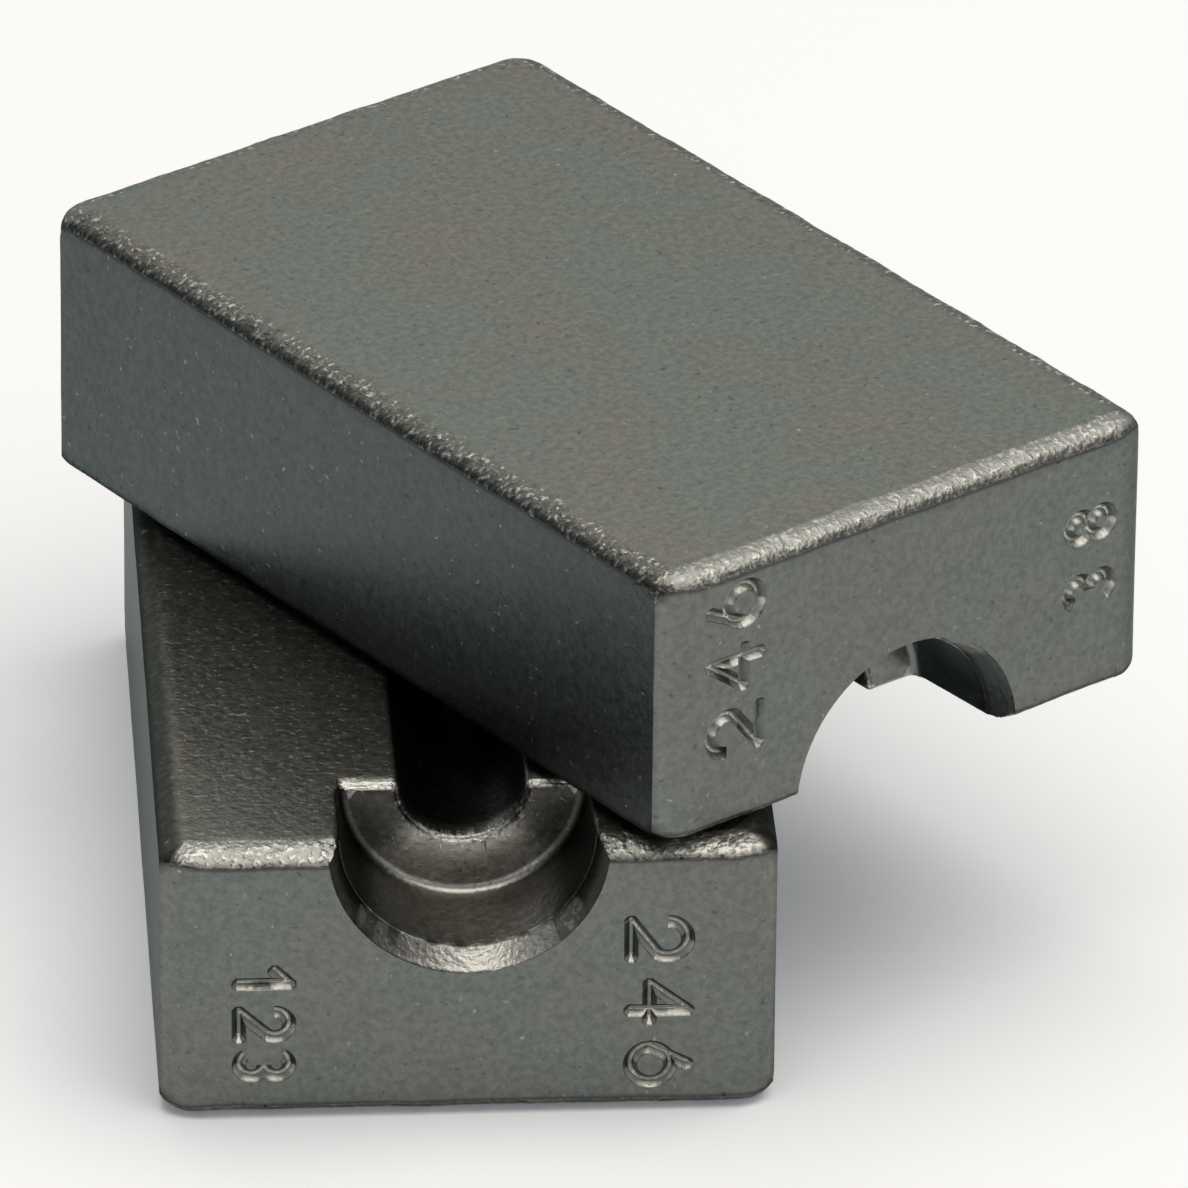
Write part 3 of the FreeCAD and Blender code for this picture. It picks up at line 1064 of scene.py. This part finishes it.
    def stroke(self, point: Vector, up: float) -> float:
        """Painted highlight, as bare metal, on the walls of a digit's stroke that face up, as the half
        lies.
        """
        share = self.stroke_wall.at(self.shape.from_front(point)) * self.stroke_up.at(up)
        return self.stroke_highlight * share if self.shape.stamped(point) else 0.0

    def pebbled(self, point: Vector) -> float:
        """How rough a point's surface is: most on the rolled edges.

        Args:
            point: place on the half.

        Returns:
            0 where it is even, about 1 where it is roughest.
        """
        mating = self.mating(point)
        sides_and_ends = (blend(self.side_pebbles, mating), blend(self.end_pebbles, mating))
        return max(
            self.rolled(point) * blend(sides_and_ends, self.at_end(point)),
            self.rim_pebbles * self.rim(point),
            self.edge_pebbles * self.step_edge(point),
            self.corner_pebbles * self.upright_corner(point),
            self.face_pebbles * self.face_top.at(point.z),
        )

    def bare(self, point: Vector, up: float) -> float:
        """How much a point shows bare metal: worn on the front end edges, the recess's rim and the groove's
        mouth, the last two kept to their low parts as partly painted highlight; painted highlight on the
        step's fillet and on the strokes' walls that face up.

        Args:
            point: place on the half.
            up: how much the surface there faces up, as the half lies.

        Returns:
            0 on the skin, 1 on dull metal, more on polished metal.
        """
        shape = self.shape
        patch = self.polish_wave.at(Vector((point.x, point.z, self.seed)))
        outer, mating = self.polish
        polish = (mating if shape.upper_part(point) else outer) + patch
        band = self.front_part.at(point.y) * self.rolled(point) * self.at_end(point) * polish
        from_axis = shape.from_axis(point)
        behind_step = shape.from_front(point) - shape.step_depth
        low = shape.lowness(point)
        # The fillet's bare metal is painted highlight, more low down.
        fillet = self.fillet_line.at(math.hypot(from_axis - shape.step_radius, behind_step))
        fillet *= blend(self.fillet_highlight, self.fillet_low.at(low))
        mouth = self.mouth_bare_and_highlight * self.step_edge(point)
        if from_axis < shape.step_radius - self.mouth_border and -point.z > shape.soft_edge:
            mouth *= self.mouth_low.at(low)
        return max(band, self.rim_bare_and_highlight * self.rim(point), mouth, fillet, self.stroke(point, up))

    def painted_shade(self, point: Vector) -> float:
        """How much painted shade a point gets: most in the groove, less up the recess's sides and on side
        edges.

        Args:
            point: place on the half.

        Returns:
            0 on clean skin, 1 on the darkest.
        """
        shape = self.shape
        from_front = shape.from_front(point)
        groove = self.groove_border.at(shape.from_axis(point) - shape.groove_radius)
        groove *= self.groove_start.at(from_front - shape.step_depth)
        outer, mating = self.side_shade
        mating *= self.side_border.at(shape.from_wall(point))
        side = blend((outer, mating), self.mating(point)) * self.rolled(point)
        side *= 1.0 - self.at_end(point)
        recess = 0.0
        if shape.in_recess(point):
            # Painted shade up the recess's sides, scaled by how used the half is.
            recess = self.recess_shade * self.used * self.recess_high.at(shape.lowness(point))
            recess *= self.recess_in.at(from_front)
        return max(groove, side, recess)

    def crease(self, point: Vector) -> float:
        """How near a point is to the line under a rolled edge, or to the seam inside the rim, along which
        the finish paints shade.

        Args:
            point: place on the half.

        Returns:
            1 on the line, 0 away from it.
        """
        shape = self.shape
        from_line = math.hypot(shape.from_wall(point), shape.from_break(point) + self.break_drop)
        off_wall = shape.from_axis(point) - shape.wall_radius
        seam = self.seam_line.at(math.hypot(off_wall, shape.from_front(point) - shape.rim_depth))
        return max(self.break_line.at(from_line), seam * (1.0 - self.rim(point)))

    def wall_shade(self, normal: Vector) -> float:
        """How much painted shade a wall gets: 1 on the long sides, less on the ends."""
        return max(self.facing.at(abs(normal.x)), self.end_shade * self.facing.at(abs(normal.y)))

    def stain(self, point: Vector) -> float:
        """How brown a point's skin is: most low in the recess, nowhere outside it."""
        share = self.stain_low.at(self.shape.lowness(point))
        return self.used * blend(self.recess_stain, share) if self.shape.in_recess(point) else 0.0

    def warm(self, point: Vector) -> float:
        """How warm the colour is, in patches and more near the borders of the faces.

        Args:
            point: place on the half.

        Returns:
            About 0 for the cool colour, 1 for the warm one.
        """
        spot = (point + Vector((0.0, 0.0, self.seed))) * self.warm_patches.per_mm
        patch = self.warm_patches.height * noise.fractal(spot, *self.warm_octaves)
        return self.warm_level + patch + self.warm_border * self.warm_reach.at(self.shape.from_wall(point))

    def marks(self, point: Vector, normal: Vector, up: float) -> dict[Mark, float]:
        """Everything that the finish reads at a point.

        Args:
            point: place on the half.
            normal: the surface's direction there.
            up: how much the surface there faces up, as the half lies.

        Returns:
            A value for each mark.
        """
        return {
            Mark.PEBBLED: self.pebbled(point),
            Mark.BARE_AND_HIGHLIGHT: self.bare(point, up),
            Mark.PAINTED_SHADE: self.painted_shade(point),
            Mark.CREASE: self.crease(point),
            Mark.WALL_SHADE: self.wall_shade(normal),
            Mark.STAIN: self.stain(point),
            Mark.WARM: self.warm(point),
            Mark.SPECKLED: self.face_top.at(point.z),
        }


@dataclass(frozen=True)
class Relief:
    """Waves in mm that are pressed into a half: on all of it, then on worked edges alone."""

    shape: DieShape
    seed: float
    broad: Wave = Wave(0.022, 0.22)
    small: Wave = Wave(0.01, 0.65)
    dents: Wave = Wave(0.03, 1.3)
    lumps: Wave = Wave(0.04, 2.3)
    grains: Wave = Wave(0.01, 4.1)
    rim_crown: float = 0.09
    edge_reach: float = 1.5
    cross_squeeze: float = 0.85
    line_wave: Wave = Wave(0.06, 0.5)
    line_drop: float = 0.03
    line_reach: Fade = Fade(1.2, 0.1)
    line_climb: Fade = Fade(-0.9, 0.0)

    def squeezed(self, value: float, half: float, reach: float) -> float:
        """Coordinate whose last stretch before a wall counts less, so that patterns stretch there."""
        beyond = max(0.0, abs(value) - half + reach)
        return math.copysign(abs(value) - (1.0 - self.cross_squeeze) * beyond, value)

    def pattern_place(self, point: Vector) -> Vector:
        """Place in mm to draw a pattern at, where lengths across the edges count less.

        Args:
            point: place on the half.

        Returns:
            A place that changes without a jump all over the half.
        """
        shape = self.shape
        middle = point.z + shape.height / 2
        across = self.squeezed(point.x, shape.width / 2, self.edge_reach) + self.seed
        along = self.squeezed(point.y, shape.length / 2, self.edge_reach)
        up = self.squeezed(middle, shape.height / 2, shape.roll_depth) + self.seed
        return Vector((across, along, up))

    def sink(self, point: Vector, pebbled: float) -> float:
        """Depth by which a point of the surface lies under the plain solid.

        Args:
            point: place on the half.
            pebbled: how rough the surface is there.

        Returns:
            A depth in mm, zero or more.
        """
        spot = self.pattern_place(point)
        worked = self.lumps.dip(spot) + self.grains.dip(spot) + self.dents.dip(point)
        cast = self.broad.dip(point, self.seed, 0.0, 0.0) + self.small.dip(point, 0.0, self.seed, 0.0)
        chamfer = max(0.0, self.shape.before_edge(point)) * math.sqrt(0.5)
        return cast + pebbled * worked + chamfer + self.uncrown(point)

    def uncrown(self, point: Vector) -> float:
        """Depth that flattens the crowned rim of the recess.

        Args:
            point: place on the half.

        Returns:
            A depth in mm, zero off the rim.
        """
        shape = self.shape
        across = shape.from_front(point) / shape.rim_depth
        if not 0.0 < across < 1.0 or not shape.step_radius < shape.from_axis(point) < shape.rim_radius:
            return 0.0
        return self.rim_crown * 4.0 * across * (1.0 - across)

    def line_shift(self, point: Vector) -> Vector:
        """Way by which the line under a rolled edge wanders away from its face.

        Args:
            point: place on the half.

        Returns:
            A move in mm along the wall, which falls to zero off the edge.
        """
        shape = self.shape
        hold = self.line_reach.at(shape.from_wall(point)) * self.line_climb.at(shape.from_break(point))
        wave = self.line_wave.at(Vector((point.x, point.y, 0.0)), 0.0, 0.0, self.seed)
        inwards = -1.0 if shape.upper_part(point) else 1.0
        return Vector((0.0, 0.0, inwards * hold * (self.line_drop + wave)))


@dataclass(frozen=True)
class DieHalf:
    """One die half: its solid's node, where it lies, its shape, and how much it was used, which sets its
    recess's stain and painted shade.

    The seed makes its surface differ from the other half's.
    """

    node: str
    place: Matrix
    shape: DieShape
    seed: float
    used: float

    def cast_surface(self, body: BMesh) -> list[Vector]:
        """Note on each vertex what the finish reads, and work out the relief.

        Args:
            body: the half's mesh, in its own frame.

        Returns:
            How far each vertex moves, in mm.
        """
        layers = {mark: body.verts.layers.float.new(mark.value) for mark in Mark}
        place_layer = body.verts.layers.float_vector.new(PLACE_LAYER)
        wear = Wear(self.shape, self.seed, self.used)
        relief = Relief(self.shape, self.seed)
        turn = self.place.to_3x3()
        body.normal_update()
        moves = []
        for vertex in body.verts:
            point = vertex.co.copy()
            up = max((turn @ face.normal).z for face in vertex.link_faces)
            marks = wear.marks(point, vertex.normal, up)
            for mark, value in marks.items():
                vertex[layers[mark]] = value
            vertex[place_layer] = relief.pattern_place(point)
            depth = relief.sink(point, marks[Mark.PEBBLED])
            moves.append(vertex.normal * -depth + relief.line_shift(point))
        return moves

    def build(self, material: Material) -> Object:
        """Make the half's piece, dress it and give it its body.

        Args:
            material: finish of the whole piece.

        Returns:
            The piece, which stands for the half's node.
        """
        mesher = Mesher(self.shape)
        to_half = Matrix.Scale(1 / MM, 4) @ self.place.inverted()
        body = mesher.merged(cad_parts[self.node].data, to_half)
        mesher.slice_up(body)
        mesher.refine(body)
        mesher.press(body, self.cast_surface(body))
        bmesh.ops.triangulate(body, faces=body.faces[:])
        body.transform(self.place @ Matrix.Scale(MM, 4))
        for face in body.faces:
            face.smooth = True
        mesh = bpy.data.meshes.new(self.node + "_cast")
        body.to_mesh(mesh)
        body.free()
        mesh.materials.append(material)
        piece = bpy.data.objects.new(self.node + "_cast", mesh)
        bpy.context.scene.collection.objects.link(piece)
        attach(piece, "root")
        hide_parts(self.node)
        return piece


@dataclass(frozen=True)
class DiePair:
    """The two halves as they lie, the upper one turned over and swung round."""

    lower_node: str = "lower_die_half"
    upper_node: str = "upper_die_half"
    upper_swing_deg: float = 34.25

    def halves(self) -> list[DieHalf]:
        """Describe both halves from the boxes of their nodes.

        Returns:
            The lower half and the upper half.
        """
        low, high = (Vector(corner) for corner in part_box(self.lower_node))
        size = (high - low) / MM
        lower_place = Matrix.Translation((0.0, 0.0, high.z))
        upper_low, upper_high = (Vector(corner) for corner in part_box(self.upper_node))
        middle = (upper_low + upper_high) / 2
        upper_place = (
            Matrix.Translation((middle.x, middle.y, high.z))
            @ Matrix.Rotation(math.radians(self.upper_swing_deg), 4, "Z")
            @ Matrix.Rotation(math.pi, 4, "Y")
        )
        return [
            DieHalf(self.lower_node, lower_place, DieShape(*size), seed=3.7, used=1.0),
            DieHalf(self.upper_node, upper_place, DieShape(*size), seed=11.3, used=0.15),
        ]


def main() -> None:
    """Set the scene, then build and dress both halves."""
    logging.basicConfig(level=logging.INFO, format="%(message)s")
    Camera().build()
    Studio().build()
    finish = CastSteel().build()
    for half in DiePair().halves():
        piece = half.build(finish)
        LOG.info("%s: %d triangles", piece.name, len(piece.data.polygons))


if __name__ == "__main__":
    main()
